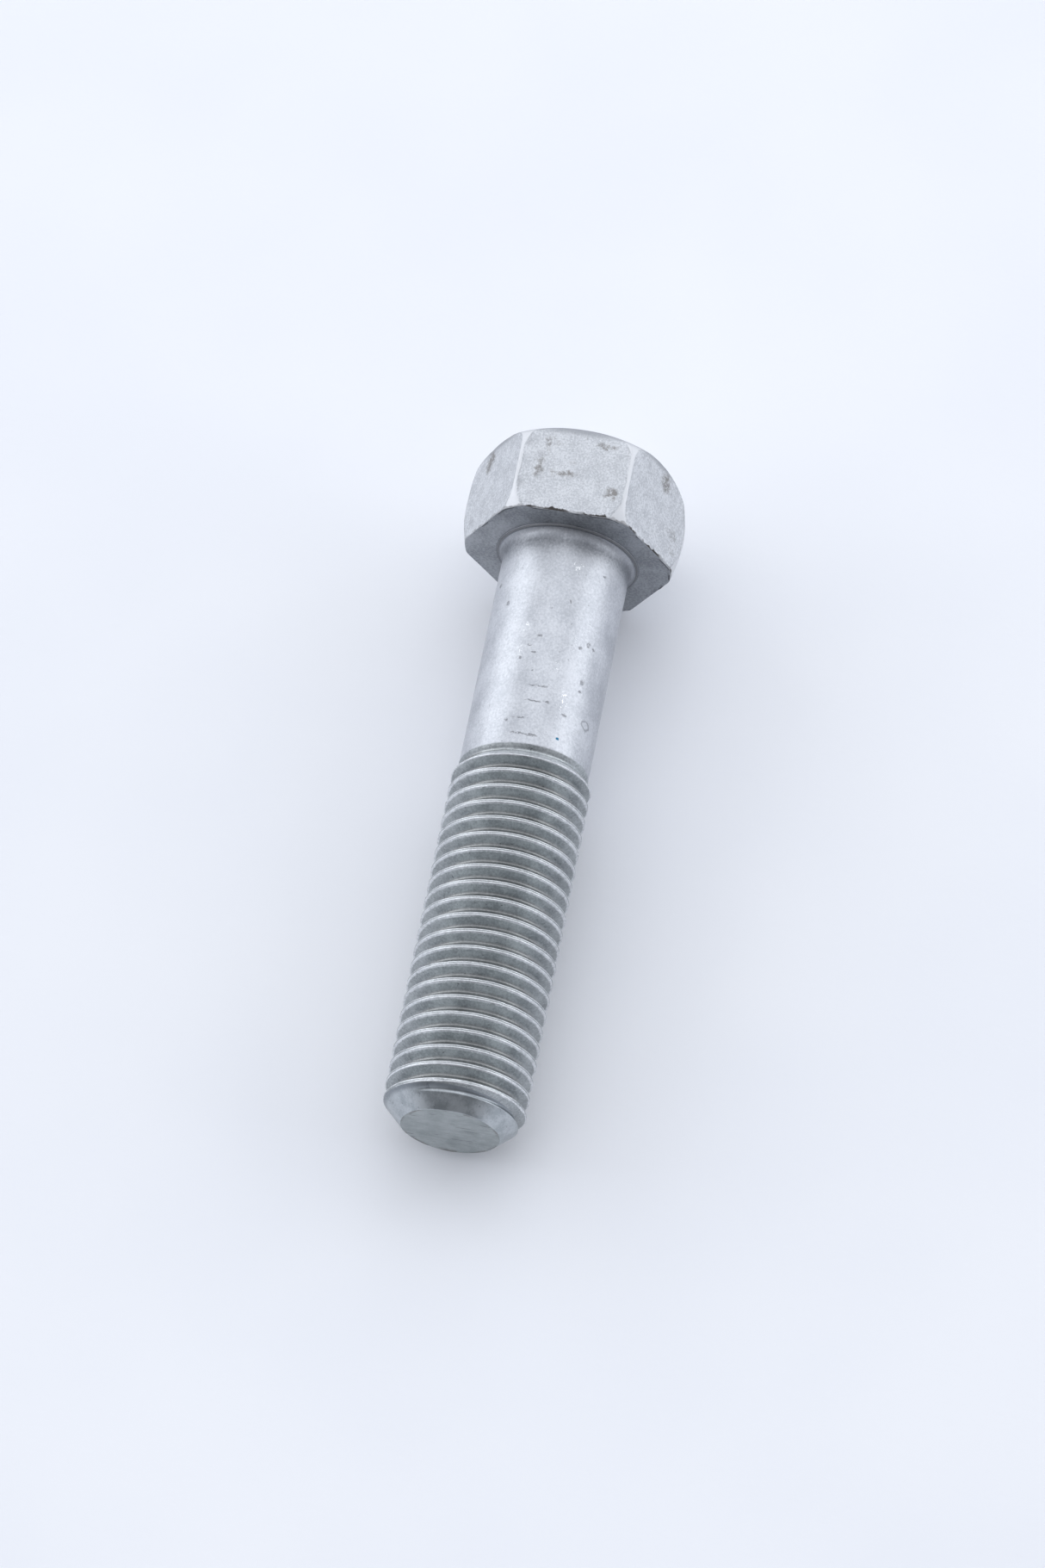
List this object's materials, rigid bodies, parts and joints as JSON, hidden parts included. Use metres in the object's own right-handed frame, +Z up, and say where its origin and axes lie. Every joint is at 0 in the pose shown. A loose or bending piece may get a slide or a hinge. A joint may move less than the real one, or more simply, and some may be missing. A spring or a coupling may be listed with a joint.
{
  "type": "hex bolt",
  "caption": "Hexagon head bolt with a reduced plain shank, a fine rolled right-hand thread and a chamfered tip, forged in one piece.",
  "frame": {"origin": "centre of the bearing face (the underside of the head), on the bolt's axis", "axes": "+X along the axis from the head to the tip, +Z up and square to one of the six flats, as the bolt lies on a table"},
  "size_m": [0.052, 0.0158, 0.0138],
  "materials": {
    "zinc_coated_steel": "satin silver-grey zinc coating"
  },
  "bodies": {
    "root": {"hex_bolt": "zinc_coated_steel"}
  },
  "joints": []
}
